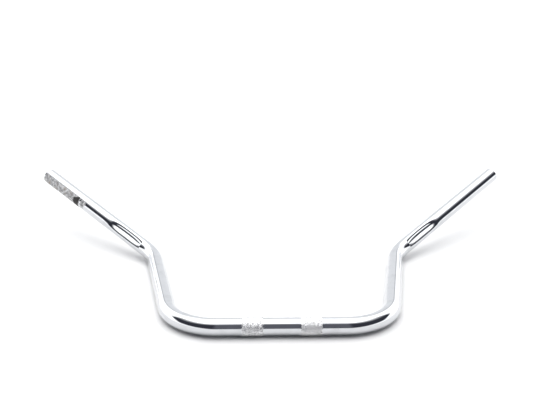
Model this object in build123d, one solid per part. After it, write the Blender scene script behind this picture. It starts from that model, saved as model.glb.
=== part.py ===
from build123d import *
from math import acos, cos, degrees, radians, sin, tan
import os

# One-piece bent-tube motorcycle handlebar, lying down. Millimetres.
# The origin is the middle of the clamp section, on the tube's axis. +X runs along that section to the
# right-hand grip, +Y from it towards the elbows, and +Z away from the surface that the bar lies on.

# ---- tube stock
TUBE_R = 12.7                      # a 1 inch handlebar tube
WALL = 3.05                        # 0.120 inch wall
BORE_R = TUBE_R - WALL

# ---- centre line of the right-hand half; the left is its mirror image
CENTRE_CORNER_X = 151.0            # where the centre line and the riser line would cross
RISER_LEAN = 11.0                  # degrees that a riser leans outwards
RISER_LINE = 258.0                 # from that corner to the elbow's corner
GRIP_LINE = 284.0                  # from the elbow's corner to the bar end
GRIP_SWEEP = 41.5                  # degrees from +X towards +Y, seen from above
GRIP_RISE = 16.5                   # degrees that a grip climbs off the surface
LOWER_BEND_R = 76.2                # a 3 inch bending die
ELBOW_R = 70.0

# ---- knurled clamp bands
BAND_SPACING = 81.0
BAND_LENGTH = 29.5
BAND_PROUD = 0.3                   # a guess, high enough to measure the bands apart from the tube
BAND_DEPTH = 0.5                   # how deep the band's solid is let into the tube

# ---- grip and switch sections
GRIP_SEAT_LENGTH = 130.0           # the plain end that takes a rubber grip

# ---- pressed wire dimple on each switch section
DIMPLE_CENTRE = 217.5              # from the bar end
DIMPLE_VALLEY_LENGTH = 48.0        # the straight part of the valley, between its rounded ends
DIMPLE_VALLEY_R = 7.83             # from the tube's axis to the valley's sharp line
DIMPLE_VALLEY_ANGLE = 53.0         # degrees above the front horizontal, round the tube
DIMPLE_PUNCH_ANGLE = 35.0          # the direction that bisects the two walls
DIMPLE_WALL_SLOPE = 20.0           # each wall's slope from the punch's face
DIMPLE_FLOOR_R = 2.0               # rounding along the bottom of the valley
DIMPLE_RIM_R = 1.5                 # rounding where the walls meet the tube's surface
PUNCH_HEIGHT = 6.0                 # from the valley line to just outside the tube
BULGE_HEIGHT = 3.0                 # from the valley line to just outside the bore
ON_SURFACE = 0.01                  # an edge point this near the tube's radius lies on its surface

# ---- dried grip glue on the left bar end
GLUE_THICKNESS = 0.2               # a guess, enough to measure the film apart from the tube
GLUE_START = 1.0                   # from the bar end
GLUE_LENGTH = 108.0
GLUE_ARC = 170.0                   # degrees of the tube that it covers
GLUE_MIDDLE_ANGLE = -30.0          # degrees above the front horizontal


def unit(sweep, rise):
    """A direction from its sweep round +Z and its rise off the surface, in degrees."""
    flat = cos(radians(rise))
    return Vector(flat * cos(radians(sweep)), flat * sin(radians(sweep)), sin(radians(rise)))


CENTRE_DIR = Vector(1, 0, 0)
RISER_DIR = unit(90.0 - RISER_LEAN, 0.0)
GRIP_DIR = unit(GRIP_SWEEP, GRIP_RISE)
LOWER_CORNER = Vector(CENTRE_CORNER_X, 0, 0)
ELBOW_CORNER = LOWER_CORNER + RISER_DIR * RISER_LINE
BAR_END = ELBOW_CORNER + GRIP_DIR * GRIP_LINE


def turn_between(before, after):
    return degrees(acos(before.dot(after)))


LOWER_TURN = turn_between(CENTRE_DIR, RISER_DIR)
ELBOW_TURN = turn_between(RISER_DIR, GRIP_DIR)
LOWER_TANGENT = LOWER_BEND_R * tan(radians(LOWER_TURN / 2))
ELBOW_TANGENT = ELBOW_R * tan(radians(ELBOW_TURN / 2))
CENTRE_HALF = CENTRE_CORNER_X - LOWER_TANGENT


def grip_point(from_end):
    """The point on the right-hand grip's axis at a distance from the bar end."""
    return BAR_END - GRIP_DIR * from_end


def tube_ring(at, along, outer=TUBE_R, inner=BORE_R):
    return Plane(origin=at, z_dir=along) * (Circle(outer) - Circle(inner))


def straight_tube(start, along, length, outer=TUBE_R, inner=BORE_R):
    return extrude(tube_ring(start, along, outer, inner), length, dir=along)


def solid_rod(start, along, length, radius):
    return extrude(Plane(origin=start, z_dir=along) * Circle(radius), length, dir=along)


def bent_tube(corner, before, after, radius):
    """The tube's bend at a corner of the centre line."""
    turn = turn_between(before, after)
    start = corner - before * (radius * tan(radians(turn / 2)))
    hinge_dir = before.cross(after).normalized()
    towards_hinge = hinge_dir.cross(before)
    hinge = Axis(start + towards_hinge * radius, hinge_dir)
    return revolve(tube_ring(start, before), hinge, revolution_arc=turn)


def knurl_band(x_middle):
    start = Vector(x_middle - BAND_LENGTH / 2, 0, 0)
    return straight_tube(start, CENTRE_DIR, BAND_LENGTH, TUBE_R + BAND_PROUD, TUBE_R - BAND_DEPTH)


def clamp_section():
    """The straight middle of the bar, with a seat let in for each knurled band."""
    tube = straight_tube(Vector(-CENTRE_HALF, 0, 0), CENTRE_DIR, 2 * CENTRE_HALF)
    for side in (-1, 1):
        start = Vector(side * BAND_SPACING / 2 - BAND_LENGTH / 2, 0, 0)
        tube -= straight_tube(start, CENTRE_DIR, BAND_LENGTH, TUBE_R + 1.0, TUBE_R - BAND_DEPTH)
    return tube


def round_the_grip(angle):
    """The direction square to the right-hand grip, at an angle above its front horizontal."""
    level = GRIP_DIR.cross(Vector(0, 0, 1)).normalized()
    up = level.cross(GRIP_DIR)
    return level * cos(radians(angle)) + up * sin(radians(angle))


def punch_half(height, grow):
    """Half the punch's section: across the valley along X, out of the tube along Y."""
    slope = radians(DIMPLE_WALL_SLOPE)
    floor_r = DIMPLE_FLOOR_R + grow
    floor_middle = DIMPLE_FLOOR_R / cos(slope)
    touch = (floor_r * sin(slope), floor_middle - floor_r * cos(slope))
    top = (touch[0] + (height - touch[1]) / tan(slope), height)
    lowest = (0.0, floor_middle - floor_r)
    outline = Polyline(touch, top, (0.0, height), lowest)
    return make_face(outline + RadiusArc(lowest, touch, floor_r))


def press_dimple(shape, height, grow=0.0):
    """Cut the punch out of a shape: a long shallow V with half-cone ends, grown by a wall's thickness."""
    half = punch_half(height, grow)
    punch_dir = round_the_grip(DIMPLE_PUNCH_ANGLE)
    sideways = GRIP_DIR.cross(punch_dir)
    valley = grip_point(DIMPLE_CENTRE) + round_the_grip(DIMPLE_VALLEY_ANGLE) * DIMPLE_VALLEY_R
    for along in (GRIP_DIR, -GRIP_DIR):
        end = valley + along * (DIMPLE_VALLEY_LENGTH / 2)
        for across in (sideways, -sideways):
            section = Plane(origin=valley, x_dir=across, z_dir=across.cross(punch_dir)) * half
            shape -= extrude(section, DIMPLE_VALLEY_LENGTH / 2, dir=along)
        across = punch_dir.cross(along)
        section = Plane(origin=end, x_dir=-across, z_dir=punch_dir.cross(across)) * half
        shape -= revolve(section, Axis(end, punch_dir), revolution_arc=180)
    return shape


def from_grip_axis(point):
    from_end = (BAR_END - point).dot(GRIP_DIR)
    return (point - grip_point(from_end)).length


def rim_edges(skin, length):
    """The edges that run round the dimple on the tube's surface."""
    rim = []
    for edge in skin.edges():
        on_surface = all(abs(from_grip_axis(edge @ t) - TUBE_R) < ON_SURFACE for t in (0, 0.5, 1))
        beside_dimple = edge.length < length - 1 and edge.geom_type != GeomType.CIRCLE
        if on_surface and beside_dimple:
            rim.append(edge)
    return rim


def free_form(shape):
    """The same shape with free-form faces for its round walls.

    The switch section's walls carry on the grip section's at the same radii. Stored this way, they
    aren't joined to them, and the grip seat and the bar-end bore are measured on the grip section alone.
    """
    return scale(shape, by=(1, 1, 1))


def switch_section():
    """The straight between the elbow and the grip, with its wall pressed in at the wire dimple."""
    start = ELBOW_CORNER + GRIP_DIR * ELBOW_TANGENT
    length = GRIP_LINE - ELBOW_TANGENT - GRIP_SEAT_LENGTH
    skin = press_dimple(solid_rod(start, GRIP_DIR, length, TUBE_R), PUNCH_HEIGHT)
    skin = skin.fillet(DIMPLE_RIM_R, rim_edges(skin, length))
    hollow = press_dimple(solid_rod(start, GRIP_DIR, length, BORE_R), BULGE_HEIGHT, WALL)
    return free_form(skin - hollow)


def grip_section():
    return straight_tube(grip_point(GRIP_SEAT_LENGTH), GRIP_DIR, GRIP_SEAT_LENGTH)


def glue_film():
    """A thin shell on the grip section's front and underside, made for the right and mirrored."""
    start = grip_point(GLUE_START + GLUE_LENGTH)
    ring = tube_ring(start, GRIP_DIR, TUBE_R + GLUE_THICKNESS, TUBE_R)
    film = extrude(ring, GLUE_LENGTH, dir=GRIP_DIR)
    middle = round_the_grip(GLUE_MIDDLE_ANGLE)
    away = solid_rod(start - GRIP_DIR, GRIP_DIR, GLUE_LENGTH + 2, 2 * TUBE_R)
    cap_height = TUBE_R * cos(radians(GLUE_ARC / 2))
    keep = Plane(origin=start + middle * cap_height, z_dir=middle)
    away = split(away, keep, keep=Keep.TOP)
    return film & away


def save(name, shape):
    shape.label = name
    export_step(shape, f"parts/{name}.step")


os.makedirs("parts", exist_ok=True)
save("clamp_section", clamp_section())
save("left_knurl_band", knurl_band(-BAND_SPACING / 2))
save("right_knurl_band", knurl_band(BAND_SPACING / 2))
right_half = {
    "lower_bend": bent_tube(LOWER_CORNER, CENTRE_DIR, RISER_DIR, LOWER_BEND_R),
    "riser": straight_tube(
        LOWER_CORNER + RISER_DIR * LOWER_TANGENT, RISER_DIR, RISER_LINE - LOWER_TANGENT - ELBOW_TANGENT
    ),
    "elbow": bent_tube(ELBOW_CORNER, RISER_DIR, GRIP_DIR, ELBOW_R),
    "switch_section": switch_section(),
    "grip_section": grip_section(),
}
for name, shape in right_half.items():
    save(f"right_{name}", shape)
    save(f"left_{name}", mirror(shape, about=Plane.YZ))
save("left_grip_glue", mirror(glue_film(), about=Plane.YZ))
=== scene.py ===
from math import acos, cos, pi, radians, sin, tan

import bpy
import numpy as np
from mathutils import Matrix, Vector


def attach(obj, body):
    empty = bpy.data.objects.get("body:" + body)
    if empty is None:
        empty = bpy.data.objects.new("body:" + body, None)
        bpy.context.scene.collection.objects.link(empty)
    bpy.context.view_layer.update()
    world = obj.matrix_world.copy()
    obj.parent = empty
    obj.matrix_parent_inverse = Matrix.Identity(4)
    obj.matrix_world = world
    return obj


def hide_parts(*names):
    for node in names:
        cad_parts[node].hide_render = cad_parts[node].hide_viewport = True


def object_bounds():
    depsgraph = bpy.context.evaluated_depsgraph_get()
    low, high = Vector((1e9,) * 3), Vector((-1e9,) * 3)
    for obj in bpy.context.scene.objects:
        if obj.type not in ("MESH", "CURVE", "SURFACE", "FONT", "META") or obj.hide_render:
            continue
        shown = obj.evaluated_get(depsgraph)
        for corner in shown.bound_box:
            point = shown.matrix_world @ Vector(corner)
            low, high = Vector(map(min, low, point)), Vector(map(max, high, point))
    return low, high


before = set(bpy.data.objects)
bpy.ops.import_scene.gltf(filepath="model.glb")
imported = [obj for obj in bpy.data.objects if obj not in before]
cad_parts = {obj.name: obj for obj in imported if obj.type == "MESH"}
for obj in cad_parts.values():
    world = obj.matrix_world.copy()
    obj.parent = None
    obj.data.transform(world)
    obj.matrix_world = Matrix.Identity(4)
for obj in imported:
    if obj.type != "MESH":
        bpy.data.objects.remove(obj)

# A one-piece bent-tube handlebar, lying down. Metres, in the CAD frame: the origin is the middle of the
# clamp section on the tube's axis, +X runs to the right-hand grip, +Y towards the elbows, +Z up.

cad_low, cad_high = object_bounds()
MM = 0.001

# ---- tube and centre line, as in the CAD
TUBE_R = 12.7 * MM
WALL = 3.05 * MM
BORE_R = TUBE_R - WALL
CENTRE_CORNER_X = 151.0 * MM
RISER_LEAN = radians(11.0)
RISER_LINE = 258.0 * MM
GRIP_LINE = 284.0 * MM
GRIP_SWEEP = radians(41.5)
GRIP_RISE = radians(16.5)
LOWER_BEND_R = 76.2 * MM
ELBOW_R = 70.0 * MM
GRIP_SEAT_LENGTH = 130.0 * MM

# ---- knurled clamp bands
BAND_SPACING = 81.0 * MM
BAND_LENGTH = 29.5 * MM
BAND_R = 12.99 * MM
BAND_SEAT_R = 12.2 * MM
SEAT_EDGE = 0.02 * MM              # the seat's step is twice this wide
KNURL_DEPTH = 0.25 * MM
KNURL_COUNT = 60                   # diamonds round the tube
KNURL_SAMPLES = 8                  # mesh points per diamond, both ways
KNURL_HELIX = radians(30.0)
KNURL_RUN_OUT = 0.9 * MM           # the pattern fades over this length at each edge
BAND_RAMP = 1.2 * MM               # the band climbs from the tube over this length

# ---- pressed wire dimple: an oval die with sloping sides, pushed into the tube. The CAD has a plainer V.
DIMPLE_CENTRE = 222.5 * MM         # from the bar end
DIMPLE_DIE_ANGLE = radians(62.0)   # the direction the die faces, above the front horizontal
DIMPLE_FACE_HEIGHT = 7.5 * MM      # from the tube's axis to the die's flat face
DIMPLE_FACE_LENGTH = 65.0 * MM
DIMPLE_FACE_WIDTH = 10.3 * MM
DIMPLE_FACE_OFFSET = 5.65 * MM     # how far the face's middle line lies below the tube's axis
DIMPLE_SIDE_SLOPE = radians(54.0)  # the die's long sides, from its face
DIMPLE_END_STRETCH = 1.7           # how much longer the slopes at the two ends are
DIMPLE_SQUARENESS = 2.6            # 2 is an ellipse, more is squarer
DIMPLE_FLOOR_BLEND = 2.8 * MM      # softness of the corner between floor and sides
DIMPLE_RIM_BLEND = 3.5 * MM        # softness of the rim on the tube's surface
RADIUS_HALVINGS = 40               # steps in the search for the dimpled tube's radius

# ---- bar end
END_CHAMFER = 0.45 * MM

# ---- mesh fineness
AROUND = 256                       # points round the tube
BEND_STEP = radians(1.5)
STRAIGHT_STEP = 6.0 * MM
DIMPLE_STEP = 0.5 * MM

# ---- dried grip glue on the left bar end
GLUE_START = 1.2 * MM              # from the bar end
GLUE_END = 116.0 * MM
GLUE_STEP = 0.35 * MM
GLUE_TOP = radians(50.0)           # above the front horizontal
GLUE_BOTTOM = radians(-80.0)
GLUE_THICKNESS = 0.16 * MM
GLUE_LIFT = 0.01 * MM              # the film's underside stands this far off the plating
GLUE_FILM_END = 101.0              # millimetres from the bar end to the film's inner edge
PATCH_FROM = 84.0                  # the thick dark patch lies between these two, in millimetres
PATCH_TO = 99.0
PATCH_PEAK = 96.0                  # where it reaches highest, and how many degrees up
PATCH_PEAK_ANGLE = 54.0
BLOB_AT = 108.0                    # a last blob of glue, in millimetres and degrees up
BLOB_ANGLE = 12.0


# ---------------------------------------------------------------- centre line

def direction(sweep, rise):
    return np.array((cos(rise) * cos(sweep), cos(rise) * sin(sweep), sin(rise)))


def unit(v):
    return v / np.linalg.norm(v)


CENTRE_DIR = np.array((1.0, 0.0, 0.0))
UP = np.array((0.0, 0.0, 1.0))
RISER_DIR = direction(pi / 2 - RISER_LEAN, 0.0)
GRIP_DIR = direction(GRIP_SWEEP, GRIP_RISE)
LOWER_CORNER = np.array((CENTRE_CORNER_X, 0.0, 0.0))
ELBOW_CORNER = LOWER_CORNER + RISER_DIR * RISER_LINE
BAR_END = ELBOW_CORNER + GRIP_DIR * GRIP_LINE
LOWER_TURN = acos(CENTRE_DIR @ RISER_DIR)
ELBOW_TURN = acos(RISER_DIR @ GRIP_DIR)
LOWER_TANGENT = LOWER_BEND_R * tan(LOWER_TURN / 2)
ELBOW_TANGENT = ELBOW_R * tan(ELBOW_TURN / 2)
CENTRE_HALF = CENTRE_CORNER_X - LOWER_TANGENT

# the grip's own level and upright directions, square to its axis
GRIP_LEVEL = unit(np.cross(GRIP_DIR, UP))
GRIP_UPRIGHT = np.cross(GRIP_LEVEL, GRIP_DIR)


def turned(v, axis, angle):
    """Vector v turned about an axis, for an array of angles."""
    angle = np.atleast_1d(angle)[:, None]
    return v * np.cos(angle) + np.cross(axis, v) * np.sin(angle) + axis * (axis @ v) * (1 - np.cos(angle))


class Run:
    """A stretch of the bar's centre line: points, directions, and a reference direction across it."""

    def __init__(self, points, along, across, travel):
        self.points = points
        self.along = along
        self.across = across
        self.travel = travel         # distance from the bar's middle


def straight_run(start, along, across, travel, stations):
    points = start + along * stations[:, None]
    count = len(stations)
    return Run(points, np.tile(along, (count, 1)), np.tile(across, (count, 1)), travel + stations)


def bend_run(start, along, after, across, travel, radius):
    turn = acos(along @ after)
    hinge_dir = unit(np.cross(along, after))
    hinge = start + np.cross(hinge_dir, along) * radius
    angles = np.linspace(0.0, turn, int(turn / BEND_STEP) + 1)
    points = hinge + turned(start - hinge, hinge_dir, angles)
    tangents = turned(along, hinge_dir, angles)
    return Run(points, tangents, turned(across, hinge_dir, angles), travel + angles * radius)


def even_stations(length, step):
    return np.linspace(0.0, length, max(2, int(round(length / step)) + 1))


def right_half_runs():
    """The right-hand half of the bar, one run for each section of it."""
    runs = {}
    start = np.array((CENTRE_HALF, 0.0, 0.0))
    runs["lower_bend"] = bend_run(start, CENTRE_DIR, RISER_DIR, UP, CENTRE_HALF, LOWER_BEND_R)
    travel = runs["lower_bend"].travel[-1]
    across = runs["lower_bend"].across[-1]
    start = LOWER_CORNER + RISER_DIR * LOWER_TANGENT
    length = RISER_LINE - LOWER_TANGENT - ELBOW_TANGENT
    runs["riser"] = straight_run(start, RISER_DIR, across, travel, even_stations(length, STRAIGHT_STEP))
    travel += length
    start = ELBOW_CORNER - RISER_DIR * ELBOW_TANGENT
    runs["elbow"] = bend_run(start, RISER_DIR, GRIP_DIR, across, travel, ELBOW_R)
    travel = runs["elbow"].travel[-1]
    across = runs["elbow"].across[-1]
    start = ELBOW_CORNER + GRIP_DIR * ELBOW_TANGENT
    length = GRIP_LINE - ELBOW_TANGENT - GRIP_SEAT_LENGTH
    stations = even_stations(length, DIMPLE_STEP)
    runs["switch_section"] = straight_run(start, GRIP_DIR, across, travel, stations)
    travel += length
    start = BAR_END - GRIP_DIR * GRIP_SEAT_LENGTH
    stations = even_stations(GRIP_SEAT_LENGTH - 2 * END_CHAMFER, STRAIGHT_STEP)
    rounded_end = GRIP_SEAT_LENGTH - END_CHAMFER * (1 - np.sin(np.linspace(0.0, pi / 2, 7)))
    stations = np.concatenate((stations, rounded_end))
    runs["grip_section"] = straight_run(start, GRIP_DIR, across, travel, stations)
    return runs


def ring_angles(count=AROUND):
    return np.arange(count) * (2 * pi / count)


def ring_directions(run, angles):
    """The outward direction at each angle round each point of a run."""
    across = run.across[:, None, :]
    beside = np.cross(run.along, run.across)[:, None, :]
    return across * np.cos(angles)[None, :, None] + beside * np.sin(angles)[None, :, None]


def skin_normals(run, outward, radius, angles):
    """The surface's outward normals, from how the radius changes along the tube and round it."""
    step = angles[1] - angles[0]
    along_slope = np.gradient(radius, run.travel, axis=0)
    round_slope = (np.roll(radius, -1, axis=1) - np.roll(radius, 1, axis=1)) / (2 * step) / radius
    clockwise = np.cross(run.along[:, None, :], outward)
    normal = outward - round_slope[..., None] * clockwise - along_slope[..., None] * run.along[:, None, :]
    return normal / np.linalg.norm(normal, axis=2, keepdims=True)


# ---------------------------------------------------------------- meshes

SKIN = 0                           # the two materials of a length of tube: its outside and near end,
INSIDE = 1                         # and its bore and far end


class MeshParts:
    """Vertices, faces and corner normals of one piece, gathered grid by grid."""

    def __init__(self):
        self.vertices = []
        self.places = []
        self.faces = []
        self.normals = []
        self.materials = []
        self.count = 0

    def add_points(self, points, places):
        first = self.count
        self.vertices.append(points.reshape(-1, 3))
        self.places.append(places.reshape(-1, 3))
        self.count += points.size // 3
        return first

    def add_quads(self, quads, corner_normals, material):
        self.faces.append(quads)
        self.normals.append(corner_normals.reshape(-1, 3))
        self.materials.append(np.full(len(quads), material))


def wrapped_quads(rows, columns):
    """Corner numbers of a grid's quads, wrapped round in its second direction."""
    i, j = np.meshgrid(np.arange(rows - 1), np.arange(columns), indexing="ij")
    i = i.ravel()
    j = j.ravel()
    k = (j + 1) % columns
    near = i * columns
    far = near + columns
    return np.stack((near + j, near + k, far + k, far + j), axis=1)


def store(mesh, name, kind, field, values):
    """Keeps a value at each vertex, for the materials to read."""
    attribute = mesh.attributes.new(name, kind, "POINT")
    attribute.data.foreach_set(field, values.astype(np.float32).ravel())


def build_piece(name, parts, materials, side):
    """One mesh object from its parts. Side -1 makes the mirror image for the left-hand half."""
    vertices = np.concatenate(parts.vertices)
    places = np.concatenate(parts.places)
    faces = np.concatenate(parts.faces)
    normals = np.concatenate(parts.normals)
    if side < 0:
        vertices = vertices * (-1.0, 1.0, 1.0)
        places = places * (-1.0, 1.0, 1.0)
        faces = faces[:, ::-1]
        normals = normals.reshape(-1, 4, 3)[:, ::-1].reshape(-1, 3) * (-1.0, 1.0, 1.0)
    mesh = bpy.data.meshes.new(name)
    mesh.from_pydata(vertices.tolist(), [], faces.tolist())
    for material in materials:
        mesh.materials.append(material)
    mesh.polygons.foreach_set("material_index", np.concatenate(parts.materials).astype(np.int32))
    mesh.polygons.foreach_set("use_smooth", np.ones(len(faces), dtype=bool))
    store(mesh, "tube_place", "FLOAT_VECTOR", "vector", places)
    mesh.normals_split_custom_set(normals.tolist())
    piece = bpy.data.objects.new(name, mesh)
    bpy.context.scene.collection.objects.link(piece)
    return piece


def straightened(run, angles, radius):
    """Where each point would be if the bar were straight: along it, and across it in two directions."""
    travel = np.broadcast_to(run.travel[:, None], radius.shape)
    return np.stack((travel, radius * np.cos(angles)[None, :], radius * np.sin(angles)[None, :]), axis=2)


def add_end_ring(parts, run, row, skin, hole, columns):
    """The flat ring across the wall, at a tube's first row or its last."""
    j = row * columns + np.arange(columns)
    k = row * columns + (np.arange(columns) + 1) % columns
    ring = np.stack((skin + j, hole + j, hole + k, skin + k), axis=1)
    facing = -run.along[row]
    material = SKIN
    if row > 0:
        ring = ring[:, ::-1]
        facing = -facing
        material = INSIDE
    parts.add_quads(ring, np.tile(facing, (4 * columns, 1)), material)


def tube_parts(run, radius, bore_radius, angles):
    """A closed length of tube: outer skin, bore, and a flat ring at each end."""
    parts = MeshParts()
    rows, columns = radius.shape
    outward = ring_directions(run, angles)
    bore = np.broadcast_to(bore_radius, radius.shape)
    skin_points = run.points[:, None, :] + outward * radius[..., None]
    bore_points = run.points[:, None, :] + outward * bore[..., None]
    skin = parts.add_points(skin_points, straightened(run, angles, radius))
    hole = parts.add_points(bore_points, straightened(run, angles, bore))
    normals = skin_normals(run, outward, radius, angles).reshape(-1, 3)
    quads = wrapped_quads(rows, columns)
    parts.add_quads(quads + skin, normals[quads], SKIN)
    inward = -skin_normals(run, outward, bore, angles).reshape(-1, 3)
    flipped = quads[:, ::-1]
    parts.add_quads(flipped + hole, inward[flipped], INSIDE)
    add_end_ring(parts, run, 0, skin, hole, columns)
    add_end_ring(parts, run, rows - 1, skin, hole, columns)
    return parts


# ---------------------------------------------------------------- shapes of the sections

def smooth_lower(a, b, reach):
    """The smaller of two heights, with the crossing rounded over."""
    overlap = np.maximum(reach - np.abs(a - b), 0.0) / reach
    return np.minimum(a, b) - overlap**2 * reach / 4


def inside_die(radius, along, level, upright):
    """How deep a point lies inside the dimple's die, in metres. Negative is outside."""
    facing = (cos(DIMPLE_DIE_ANGLE), sin(DIMPLE_DIE_ANGLE))
    above_face = radius * (level * facing[0] + upright * facing[1]) - DIMPLE_FACE_HEIGHT
    across = radius * (upright * facing[0] - level * facing[1]) + DIMPLE_FACE_OFFSET
    spread = np.maximum(above_face, 0.0) / tan(DIMPLE_SIDE_SLOPE)
    half_length = DIMPLE_FACE_LENGTH / 2 + spread * DIMPLE_END_STRETCH
    half_width = DIMPLE_FACE_WIDTH / 2 + spread
    lengthwise = (np.abs(along) / half_length) ** DIMPLE_SQUARENESS
    widthwise = (np.abs(across) / half_width) ** DIMPLE_SQUARENESS
    oval = (lengthwise + widthwise) ** (1 / DIMPLE_SQUARENESS)
    from_side = (1 - oval) * half_width * sin(DIMPLE_SIDE_SLOPE)
    return smooth_lower(above_face, from_side, DIMPLE_FLOOR_BLEND)


def dimple_radius(run, angles):
    """The tube's radius at the wire dimple: along each ray, how far out the die and the tube leave metal."""
    outward = ring_directions(run, angles)
    along = (DIMPLE_CENTRE - (BAR_END - run.points) @ GRIP_DIR)[:, None]
    level = outward @ GRIP_LEVEL
    upright = outward @ GRIP_UPRIGHT
    low = np.zeros(level.shape)
    high = np.full(level.shape, TUBE_R)
    for _ in range(RADIUS_HALVINGS):
        middle = (low + high) / 2
        clear_of_die = -inside_die(middle, along, level, upright)
        metal = smooth_lower(TUBE_R - middle, clear_of_die, DIMPLE_RIM_BLEND) > 0
        low = np.where(metal, middle, low)
        high = np.where(metal, high, middle)
    return (low + high) / 2


def plain_radius(run, angles):
    return np.full((len(run.points), len(angles)), TUBE_R)


def chamfered_radius(run, angles):
    """The plain tube, rounded over at the bar end."""
    to_end = run.travel[-1] - run.travel
    into = np.clip(1 - to_end / END_CHAMFER, 0.0, 1.0)
    shrink = END_CHAMFER * (1 - np.sqrt(1 - into**2))
    return np.broadcast_to((TUBE_R - shrink)[:, None], (len(run.points), len(angles))).copy()


def clamp_run():
    """The straight middle, with close stations at the edges of the band seats."""
    stations = [even_stations(2 * CENTRE_HALF, STRAIGHT_STEP)]
    for side in (-1, 1):
        for end in (-1, 1):
            at = CENTRE_HALF + side * BAND_SPACING / 2 + end * BAND_LENGTH / 2
            stations.append(at + SEAT_EDGE * np.array((-5.0, -1.0, 1.0, 5.0)))
    stations = np.unique(np.concatenate(stations))
    return straight_run(np.array((-CENTRE_HALF, 0.0, 0.0)), CENTRE_DIR, UP, -CENTRE_HALF, stations)


def seated_radius(run, angles):
    """The middle tube, let in under each knurled band."""
    beside_band = np.abs(np.abs(run.points[:, 0]) - BAND_SPACING / 2)
    radius = np.where(beside_band < BAND_LENGTH / 2, BAND_SEAT_R, TUBE_R)
    return np.broadcast_to(radius[:, None], (len(run.points), len(angles))).copy()


def band_run(middle):
    pitch = 2 * pi * BAND_R / KNURL_COUNT / tan(KNURL_HELIX)
    step = pitch / KNURL_SAMPLES
    count = int(BAND_LENGTH / step)
    margin = (BAND_LENGTH - count * step) / 2
    stations = np.concatenate(((0.0,), margin + np.arange(count + 1) * step, (BAND_LENGTH,)))
    start = np.array((middle - BAND_LENGTH / 2, 0.0, 0.0))
    return straight_run(start, CENTRE_DIR, UP, middle - BAND_LENGTH / 2, stations), pitch


def knurled_radius(run, angles, pitch):
    """Two crossing sets of rolled grooves, worn flat on top and fading out at the edges."""
    turns = angles[None, :] / (2 * pi) * KNURL_COUNT
    lengths = (run.travel[:, None] - run.travel[1]) / pitch

    def groove(phase):
        return 1 - 2 * np.abs(phase - np.floor(phase) - 0.5)

    diamond = np.minimum(groove(lengths + turns), groove(lengths - turns))
    diamond = np.minimum(diamond * 1.7, 1.0)
    from_edge = np.minimum(run.travel - run.travel[0], run.travel[-1] - run.travel)[:, None]
    strength = np.clip(from_edge / KNURL_RUN_OUT, 0.0, 1.0)
    ramp = np.clip(from_edge / BAND_RAMP, 0.0, 1.0)
    crest = TUBE_R + (BAND_R - TUBE_R) * ramp
    return crest - KNURL_DEPTH * strength * (1 - diamond)


# ---- colours of the materials
CHROME_CLEAN = (0.665, 0.675, 0.695, 1.0)
CHROME_SMUDGED = (0.61, 0.62, 0.64, 1.0)
CHROME_SCUFFED = (0.70, 0.70, 0.71, 1.0)
CHROME_PIT = (0.10, 0.085, 0.07, 1.0)
KNURL_BRIGHT = (0.80, 0.80, 0.81, 1.0)
KNURL_SPECK = (0.42, 0.42, 0.44, 1.0)
KNURL_DIRT = (0.45, 0.45, 0.45, 1.0)
BARE_STEEL = (0.115, 0.105, 0.10, 1.0)
RUST = (0.16, 0.075, 0.035, 1.0)
GLUE_GREY = (0.20, 0.20, 0.205, 1.0)
GLUE_PALE = (0.74, 0.74, 0.75, 1.0)
GLUE_BROWN = (0.34, 0.30, 0.26, 1.0)
GLUE_THICK_PATCH = (0.022, 0.02, 0.019, 1.0)
FLOOR_COLOUR = (0.86, 0.86, 0.86, 1.0)
SCUFF_REACH = 9 * MM               # the chrome is scuffed this far beside each band


# ---------------------------------------------------------------- shader helpers

def new_material(name):
    material = bpy.data.materials.new(name)
    material.use_nodes = True
    tree = material.node_tree
    tree.nodes.clear()
    output = tree.nodes.new("ShaderNodeOutputMaterial")
    shader = tree.nodes.new("ShaderNodeBsdfPrincipled")
    tree.links.new(shader.outputs["BSDF"], output.inputs["Surface"])
    return material, tree, shader


def feed(tree, value, socket):
    """Links a socket, or sets a plain value."""
    if isinstance(value, bpy.types.NodeSocket):
        tree.links.new(value, socket)
    else:
        socket.default_value = value


def maths(tree, operation, a, b=0.0, c=0.0):
    made = tree.nodes.new("ShaderNodeMath")
    made.operation = operation
    for socket, value in zip(made.inputs, (a, b, c)):
        feed(tree, value, socket)
    return made.outputs["Value"]


def ramp(tree, value, low, high, out_low=0.0, out_high=1.0):
    """Maps a value smoothly from one range to another, clamped."""
    made = tree.nodes.new("ShaderNodeMapRange")
    made.interpolation_type = "SMOOTHSTEP"
    for socket, number in zip(("From Min", "From Max", "To Min", "To Max"), (low, high, out_low, out_high)):
        made.inputs[socket].default_value = number
    feed(tree, value, made.inputs["Value"])
    return made.outputs["Result"]


def blend_colours(tree, share, a, b):
    made = tree.nodes.new("ShaderNodeMix")
    made.data_type = "RGBA"
    feed(tree, share, made.inputs["Factor"])
    feed(tree, a, made.inputs["A"])
    feed(tree, b, made.inputs["B"])
    return made.outputs["Result"]


def tube_place(tree, stretch=(1.0, 1.0, 1.0)):
    """Position on the straightened bar, in metres, with each direction scaled."""
    place = tree.nodes.new("ShaderNodeAttribute")
    place.attribute_name = "tube_place"
    made = tree.nodes.new("ShaderNodeVectorMath")
    made.operation = "MULTIPLY"
    tree.links.new(place.outputs["Vector"], made.inputs[0])
    made.inputs[1].default_value = stretch
    return made.outputs["Vector"]


def noise(tree, where, size, detail=2.0, roughness=0.5, distortion=0.0):
    """Noise whose features are about this many metres across."""
    made = tree.nodes.new("ShaderNodeTexNoise")
    tree.links.new(where, made.inputs["Vector"])
    made.inputs["Scale"].default_value = 1.0 / size
    made.inputs["Detail"].default_value = detail
    made.inputs["Roughness"].default_value = roughness
    made.inputs["Distortion"].default_value = distortion
    return made.outputs["Fac"]


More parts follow.
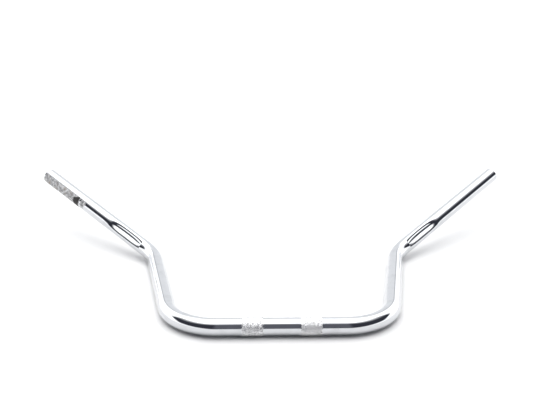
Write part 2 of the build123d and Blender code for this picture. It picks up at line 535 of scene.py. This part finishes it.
def spots(tree, where, spacing):
    """Distance to the nearest of scattered points, in units of their spacing."""
    made = tree.nodes.new("ShaderNodeTexVoronoi")
    tree.links.new(where, made.inputs["Vector"])
    made.inputs["Scale"].default_value = 1.0 / spacing
    return made.outputs["Distance"]


def bump(tree, height, distance, strength=1.0):
    made = tree.nodes.new("ShaderNodeBump")
    made.inputs["Strength"].default_value = strength
    made.inputs["Distance"].default_value = distance
    tree.links.new(height, made.inputs["Height"])
    return made.outputs["Normal"]


def along_tube(tree):
    """Distance along the bar from its middle, without regard to side."""
    split = tree.nodes.new("ShaderNodeSeparateXYZ")
    tree.links.new(tube_place(tree), split.inputs["Vector"])
    return maths(tree, "ABSOLUTE", split.outputs["X"])


# ---------------------------------------------------------------- materials

def chrome_material():
    """Old chrome plate: mirror bright, with smudges, hairlines, rare pits and scuffs by the bands."""
    material, tree, shader = new_material("polished_chrome")
    shader.inputs["Metallic"].default_value = 1.0
    place = tube_place(tree)
    smudge = ramp(tree, noise(tree, place, 22 * MM, 5.0, 0.62), 0.42, 0.72)
    hairlines = ramp(tree, noise(tree, tube_place(tree, (1.0, 14.0, 14.0)), 9 * MM, 4.0, 0.7), 0.60, 0.72)
    pit_field = ramp(tree, spots(tree, place, 3.2 * MM), 0.10, 0.05)
    pit_patches = ramp(tree, noise(tree, place, 45 * MM, 3.0), 0.56, 0.66)
    pits = maths(tree, "MULTIPLY", pit_field, pit_patches)
    distance = along_tube(tree)
    band_edge = maths(tree, "ABSOLUTE", maths(tree, "SUBTRACT", distance, BAND_SPACING / 2))
    by_band = ramp(tree, band_edge, BAND_LENGTH / 2 + SCUFF_REACH, BAND_LENGTH / 2)
    scuff_noise = ramp(tree, noise(tree, place, 2.4 * MM, 4.0, 0.7), 0.54, 0.66)
    scuffs = maths(tree, "MULTIPLY", by_band, scuff_noise)
    clean = blend_colours(tree, smudge, CHROME_CLEAN, CHROME_SMUDGED)
    worn = blend_colours(tree, scuffs, clean, CHROME_SCUFFED)
    colour = blend_colours(tree, pits, worn, CHROME_PIT)
    tree.links.new(colour, shader.inputs["Base Color"])
    roughness = maths(tree, "MULTIPLY_ADD", smudge, 0.05, 0.035)
    roughness = maths(tree, "MULTIPLY_ADD", hairlines, 0.06, roughness)
    roughness = maths(tree, "MULTIPLY_ADD", scuffs, 0.30, roughness)
    roughness = maths(tree, "MULTIPLY_ADD", pits, 0.45, roughness)
    tree.links.new(roughness, shader.inputs["Roughness"])
    ripple = noise(tree, place, 16 * MM, 2.0)
    dents = maths(tree, "MULTIPLY_ADD", pits, -0.25, ripple)
    dents = maths(tree, "MULTIPLY_ADD", scuffs, -0.10, dents)
    tree.links.new(bump(tree, dents, 0.05 * MM), shader.inputs["Normal"])
    return material


def knurl_material():
    """Chrome over the rolled knurl: worn bright and satin, with dirt in patches."""
    material, tree, shader = new_material("knurled_chrome")
    shader.inputs["Metallic"].default_value = 1.0
    place = tube_place(tree)
    dirt = ramp(tree, noise(tree, place, 4.0 * MM, 5.0, 0.7), 0.50, 0.70)
    speck = ramp(tree, noise(tree, place, 2.6 * MM, 3.0, 0.75), 0.50, 0.60)
    bright = blend_colours(tree, speck, KNURL_BRIGHT, KNURL_SPECK)
    colour = blend_colours(tree, dirt, bright, KNURL_DIRT)
    tree.links.new(colour, shader.inputs["Base Color"])
    roughness = maths(tree, "MULTIPLY_ADD", dirt, 0.16, 0.16)
    tree.links.new(roughness, shader.inputs["Roughness"])
    tree.links.new(bump(tree, speck, 0.04 * MM), shader.inputs["Normal"])
    return material


def bore_material():
    """Bare drawn steel inside the tube, gone brown."""
    material, tree, shader = new_material("bare_steel_bore")
    place = tube_place(tree)
    rust = ramp(tree, noise(tree, place, 6.0 * MM, 6.0, 0.65), 0.38, 0.62)
    fine = noise(tree, place, 0.8 * MM, 4.0, 0.6)
    colour = blend_colours(tree, rust, BARE_STEEL, RUST)
    tree.links.new(colour, shader.inputs["Base Color"])
    tree.links.new(ramp(tree, rust, 0.0, 1.0, 0.55, 0.0), shader.inputs["Metallic"])
    tree.links.new(ramp(tree, fine, 0.3, 0.7, 0.55, 0.85), shader.inputs["Roughness"])
    tree.links.new(bump(tree, fine, 0.15 * MM), shader.inputs["Normal"])
    return material


def glue_material():
    """Dried grip adhesive: matte, mottled grey and brown, nearly black where it is thick."""
    material, tree, shader = new_material("dried_grip_glue")
    place = tube_place(tree)
    mottle = ramp(tree, noise(tree, place, 5.0 * MM, 5.0, 0.7), 0.36, 0.64)
    brown = ramp(tree, noise(tree, place, 11.0 * MM, 4.0, 0.6), 0.52, 0.66)
    grain = noise(tree, place, 0.7 * MM, 4.0, 0.7)
    grey = blend_colours(tree, mottle, GLUE_GREY, GLUE_PALE)
    colour = blend_colours(tree, brown, grey, GLUE_BROWN)
    thick = tree.nodes.new("ShaderNodeAttribute")
    thick.attribute_name = "glue_dark"
    colour = blend_colours(tree, thick.outputs["Fac"], colour, GLUE_THICK_PATCH)
    tree.links.new(colour, shader.inputs["Base Color"])
    tree.links.new(ramp(tree, grain, 0.3, 0.7, 0.45, 0.8), shader.inputs["Roughness"])
    tree.links.new(bump(tree, grain, 0.12 * MM), shader.inputs["Normal"])
    return material


def floor_material():
    material, tree, shader = new_material("pale_floor")
    shader.inputs["Base Color"].default_value = FLOOR_COLOUR
    shader.inputs["Roughness"].default_value = 0.6
    return material


# ---------------------------------------------------------------- pieces

CHROME = chrome_material()
KNURL = knurl_material()
BORE = bore_material()
GLUE = glue_material()


def place_piece(name, parts, materials, side, node):
    piece = build_piece(name, parts, materials, side)
    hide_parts(node)
    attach(piece, "root")


def make_sections():
    """The eleven sections of the one bent tube."""
    angles = ring_angles()
    middle = clamp_run()
    parts = tube_parts(middle, seated_radius(middle, angles), BORE_R, angles)
    place_piece("tube_clamp_section", parts, (CHROME, BORE), 1, "clamp_section")
    shapes = {"switch_section": dimple_radius, "grip_section": chamfered_radius}
    for name, run in right_half_runs().items():
        radius = shapes.get(name, plain_radius)(run, angles)
        bore_radius = np.minimum(BORE_R, radius - WALL) if name == "switch_section" else BORE_R
        parts = tube_parts(run, radius, bore_radius, angles)
        for side, word in ((1, "right"), (-1, "left")):
            node = f"{word}_{name}"
            place_piece(f"tube_{node}", parts, (CHROME, BORE), side, node)


def make_knurl_bands():
    angles = ring_angles(KNURL_COUNT * KNURL_SAMPLES)
    for side, word in ((-1, "left"), (1, "right")):
        run, pitch = band_run(side * BAND_SPACING / 2)
        radius = knurled_radius(run, angles, pitch)
        parts = tube_parts(run, radius, BAND_SEAT_R, angles)
        node = f"{word}_knurl_band"
        place_piece(f"rolled_{node}", parts, (KNURL, KNURL), 1, node)


def smooth_noise(shape, cell, generator):
    """Smooth random field over a grid, between about -1 and 1, with features this many cells across."""
    rows = int(np.ceil(shape[0] / cell[0])) + 2
    columns = int(np.ceil(shape[1] / cell[1])) + 2
    coarse = generator.uniform(-1.0, 1.0, (rows, columns))
    i = np.arange(shape[0]) / cell[0]
    j = np.arange(shape[1]) / cell[1]
    i0 = i.astype(int)
    j0 = j.astype(int)
    fi = i - i0
    fj = j - j0
    fi = (fi * fi * (3 - 2 * fi))[:, None]
    fj = (fj * fj * (3 - 2 * fj))[None, :]
    near = coarse[np.ix_(i0, j0)] * (1 - fj) + coarse[np.ix_(i0, j0 + 1)] * fj
    far = coarse[np.ix_(i0 + 1, j0)] * (1 - fj) + coarse[np.ix_(i0 + 1, j0 + 1)] * fj
    return near * (1 - fi) + far * fi


def glue_cover(from_end, above, generator):
    """How much glue lies at each place: over zero is covered. Also how dark it is."""
    shape = (len(from_end), len(above))
    rough = sum(
        smooth_noise(shape, (size * 2.2, size), generator) * share
        for size, share in ((26, 0.5), (11, 0.35), (5, 0.25), (2.5, 0.15))
    )
    s = from_end[:, None] / MM
    angle = np.degrees(above)[None, :]
    top = np.clip((np.degrees(GLUE_TOP) - 3 - angle) / 14, -3, 1)
    bottom = np.clip((angle - np.degrees(GLUE_BOTTOM)) / 30, -3, 1)
    ends = np.clip(np.minimum(s - GLUE_START / MM, GLUE_FILM_END - s) / 5, -3, 1)
    film = np.minimum(np.minimum(top, bottom), ends) * 1.1 + rough * 0.8 - 0.1
    patch_top = PATCH_PEAK_ANGLE - 2.6 * np.abs(s - PATCH_PEAK)
    patch = np.minimum(np.minimum((s - PATCH_FROM) / 3, (PATCH_TO - s) / 4), (patch_top - angle) / 8)
    patch = np.minimum(patch, (angle + 60) / 20) + rough * 0.35
    blob = 1.2 - np.hypot((s - BLOB_AT) / 6, (angle - BLOB_ANGLE) / 30) + rough * 0.5
    cover = np.maximum(np.maximum(film, patch), blob)
    return cover, np.clip(patch * 2.5, 0, 1)


def glue_parts():
    """A ragged thin shell: the covered cells of a fine grid, with a skin, an underside and side walls."""
    generator = np.random.default_rng(41)
    stations = even_stations(GLUE_END - GLUE_START, GLUE_STEP)
    start = BAR_END - GRIP_DIR * GLUE_END
    run = straight_run(start, GRIP_DIR, GRIP_LEVEL, 0.0, stations)
    from_end = GLUE_END - stations
    count = int((GLUE_TOP - GLUE_BOTTOM + radians(16)) * TUBE_R / GLUE_STEP)
    above = np.linspace(GLUE_BOTTOM - radians(8), GLUE_TOP + radians(8), count)
    cover, dark = glue_cover(from_end, above, generator)
    # a run's angles go from the level direction downwards, and the film's are measured upwards
    outward = ring_directions(run, -above)
    return run, from_end, above, cover, dark, outward


def glue_faces(kept):
    """The film's quads: its skin, its underside, and a wall wherever a covered cell has no neighbour."""
    rows, columns = kept.shape
    pitch = columns + 1
    under = (rows + 1) * pitch
    faces = []
    for i, j in zip(*np.nonzero(kept)):
        a = i * pitch + j
        b = a + 1
        c = a + pitch + 1
        d = a + pitch
        faces.append((a, b, c, d))
        faces.append((d + under, c + under, b + under, a + under))
        if j == 0 or not kept[i, j - 1]:
            faces.append((a, d, d + under, a + under))
        if j == columns - 1 or not kept[i, j + 1]:
            faces.append((c, b, b + under, c + under))
        if i == 0 or not kept[i - 1, j]:
            faces.append((b, a, a + under, b + under))
        if i == rows - 1 or not kept[i + 1, j]:
            faces.append((d, c, c + under, d + under))
    return np.array(faces)


def make_glue():
    run, from_end, above, cover, dark, outward = glue_parts()
    height = GLUE_LIFT + GLUE_THICKNESS * np.clip(cover * 1.2, 0.06, 1.0)
    kept = (cover[:-1, :-1] > 0) & (cover[1:, :-1] > 0) & (cover[:-1, 1:] > 0) & (cover[1:, 1:] > 0)
    skin_points = run.points[:, None, :] + outward * (TUBE_R + height)[..., None]
    under_points = run.points[:, None, :] + outward * (TUBE_R + GLUE_LIFT / 2)
    vertices = np.concatenate((skin_points.reshape(-1, 3), under_points.reshape(-1, 3)))
    vertices = vertices * (-1.0, 1.0, 1.0)
    used, renumbered = np.unique(glue_faces(kept), return_inverse=True)
    mesh = bpy.data.meshes.new("dried_grip_glue")
    mesh.from_pydata(vertices[used].tolist(), [], renumbered.reshape(-1, 4).tolist())
    mesh.materials.append(GLUE)
    along = np.broadcast_to(from_end[:, None], cover.shape)
    around = np.broadcast_to(above[None, :] * TUBE_R, cover.shape)
    places = np.stack((along, around, height), axis=2).reshape(-1, 3)
    store(mesh, "tube_place", "FLOAT_VECTOR", "vector", np.concatenate((places, places))[used])
    store(mesh, "glue_dark", "FLOAT", "value", np.concatenate((dark.ravel(), dark.ravel()))[used])
    piece = bpy.data.objects.new("dried_grip_glue", mesh)
    bpy.context.scene.collection.objects.link(piece)
    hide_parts("left_grip_glue")
    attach(piece, "root")


# ---------------------------------------------------------------- stage, light and camera

FLOOR_SIZE = 24.0
FLOOR_Z = cad_low.z

CAMERA_AT = (-0.04889, -1.01264, 0.5368)
CAMERA_PITCH = radians(19.65)      # looking down
CAMERA_YAW = radians(2.146)        # to the right
CAMERA_ROLL = radians(-0.541)
CAMERA_LENS = 54.16                # millimetres, on the default 36 mm sensor
SENSOR_WIDTH = 36.0

ROOM_LIGHT = 4.0                   # brightness of the softest, brightest part, overhead
OVERHEAD = (1.0, 1.0, 1.0, 1.0)
WALLS = (0.42, 0.422, 0.425, 1.0)
BACK_WALL = (0.262, 0.266, 0.272, 1.0)
BACK_EDGE = (0.15, 0.153, 0.16, 1.0)
OPENING_BEARING = radians(4.0)     # the opening's middle lies a little to the right
OPENING_SIDE_EDGE = (radians(87), radians(75))     # from wall to opening, away from its middle
OPENING_WIDENS = (radians(10), radians(30))        # over these heights the opening grows wider,
OPENING_WIDENING = radians(24)                     # by this much on each side
OPENING_TOP_EDGE = (radians(88), radians(47))
OPENING_TOP_TILT = 0.14                            # the top edge comes down towards the sides
OPENING_BOTTOM_EDGE = (radians(-6), radians(3))
OPENING_BOTTOM_TILT = -0.13                        # and the bottom edge climbs
OPENING_MIDDLE_EDGE = (radians(7), radians(17))
BACK_WALL_SIDE = (radians(156), radians(161))
BACK_WALL_TOP = (radians(55), radians(35))
BACK_EDGE_INNER = (radians(161), radians(166))
OVERHEAD_EDGE = (radians(40), radians(85))
OPENING_SIDE = (0.011, 0.0115, 0.015, 1.0)
OPENING_MIDDLE = (0.035, 0.036, 0.042, 1.0)


def make_floor():
    mesh = bpy.data.meshes.new("floor")
    half = FLOOR_SIZE / 2
    corners = [(x * half, y * half, FLOOR_Z) for x, y in ((-1, -1), (1, -1), (1, 1), (-1, 1))]
    mesh.from_pydata(corners, [], [(0, 1, 2, 3)])
    mesh.materials.append(floor_material())
    floor = bpy.data.objects.new("floor", mesh)
    bpy.context.scene.collection.objects.link(floor)


def make_room():
    """A white room, lit evenly, with a wide dark opening on the side that the bar is seen from."""
    world = bpy.data.worlds.new("soft_room")
    bpy.context.scene.world = world
    world.use_nodes = True
    tree = world.node_tree
    tree.nodes.clear()
    output = tree.nodes.new("ShaderNodeOutputWorld")
    light = tree.nodes.new("ShaderNodeBackground")
    tree.links.new(light.outputs["Background"], output.inputs["Surface"])
    light.inputs["Strength"].default_value = ROOM_LIGHT
    coordinates = tree.nodes.new("ShaderNodeTexCoord")
    split = tree.nodes.new("ShaderNodeSeparateXYZ")
    tree.links.new(coordinates.outputs["Generated"], split.inputs["Vector"])
    x, y, z = split.outputs
    elevation = maths(tree, "ARCSINE", z)
    towards = maths(tree, "MULTIPLY", y, -1.0)
    bearing = maths(tree, "ARCTAN2", x, towards)
    azimuth = maths(tree, "ABSOLUTE", maths(tree, "SUBTRACT", bearing, OPENING_BEARING))
    wider_up = ramp(tree, elevation, *OPENING_WIDENS, 0.0, OPENING_WIDENING)
    side_edge = ramp(tree, maths(tree, "SUBTRACT", azimuth, wider_up), *OPENING_SIDE_EDGE)
    below_top = maths(tree, "MULTIPLY_ADD", azimuth, OPENING_TOP_TILT, elevation)
    upper_edge = ramp(tree, below_top, *OPENING_TOP_EDGE)
    above_bottom = maths(tree, "MULTIPLY_ADD", azimuth, OPENING_BOTTOM_TILT, elevation)
    lower_edge = ramp(tree, above_bottom, *OPENING_BOTTOM_EDGE)
    opening = maths(tree, "MULTIPLY", maths(tree, "MULTIPLY", side_edge, upper_edge), lower_edge)
    off_middle = ramp(tree, azimuth, *OPENING_MIDDLE_EDGE)
    dark = blend_colours(tree, off_middle, OPENING_MIDDLE, OPENING_SIDE)
    from_front = maths(tree, "ABSOLUTE", bearing)
    behind = maths(tree, "MULTIPLY", ramp(tree, from_front, *BACK_WALL_SIDE),
                   ramp(tree, elevation, *BACK_WALL_TOP))
    back = blend_colours(tree, ramp(tree, from_front, *BACK_EDGE_INNER), BACK_EDGE, BACK_WALL)
    walls = blend_colours(tree, behind, WALLS, back)
    room = blend_colours(tree, ramp(tree, elevation, *OVERHEAD_EDGE), walls, OVERHEAD)
    colour = blend_colours(tree, opening, room, dark)
    tree.links.new(colour, light.inputs["Color"])


def make_camera():
    level = cos(CAMERA_PITCH)
    forward = np.array((sin(CAMERA_YAW) * level, cos(CAMERA_YAW) * level, -sin(CAMERA_PITCH)))
    right = np.array((cos(CAMERA_YAW), -sin(CAMERA_YAW), 0.0))
    down = np.cross(forward, right)
    rolled_right = right * cos(CAMERA_ROLL) + down * sin(CAMERA_ROLL)
    rolled_down = down * cos(CAMERA_ROLL) - right * sin(CAMERA_ROLL)
    data = bpy.data.cameras.new("camera")
    data.lens = CAMERA_LENS
    data.sensor_width = SENSOR_WIDTH
    camera = bpy.data.objects.new("camera", data)
    bpy.context.scene.collection.objects.link(camera)
    columns = (rolled_right, -rolled_down, -forward)
    camera.matrix_world = Matrix([[*(column[row] for column in columns), CAMERA_AT[row]] for row in range(3)]
                                 + [[0.0, 0.0, 0.0, 1.0]])
    bpy.context.scene.camera = camera


def set_view():
    scene = bpy.context.scene
    scene.view_settings.view_transform = "Standard"
    scene.view_settings.look = "None"
    scene.cycles.use_denoising = True


make_sections()
make_knurl_bands()
make_glue()
make_floor()
make_room()
make_camera()
set_view()
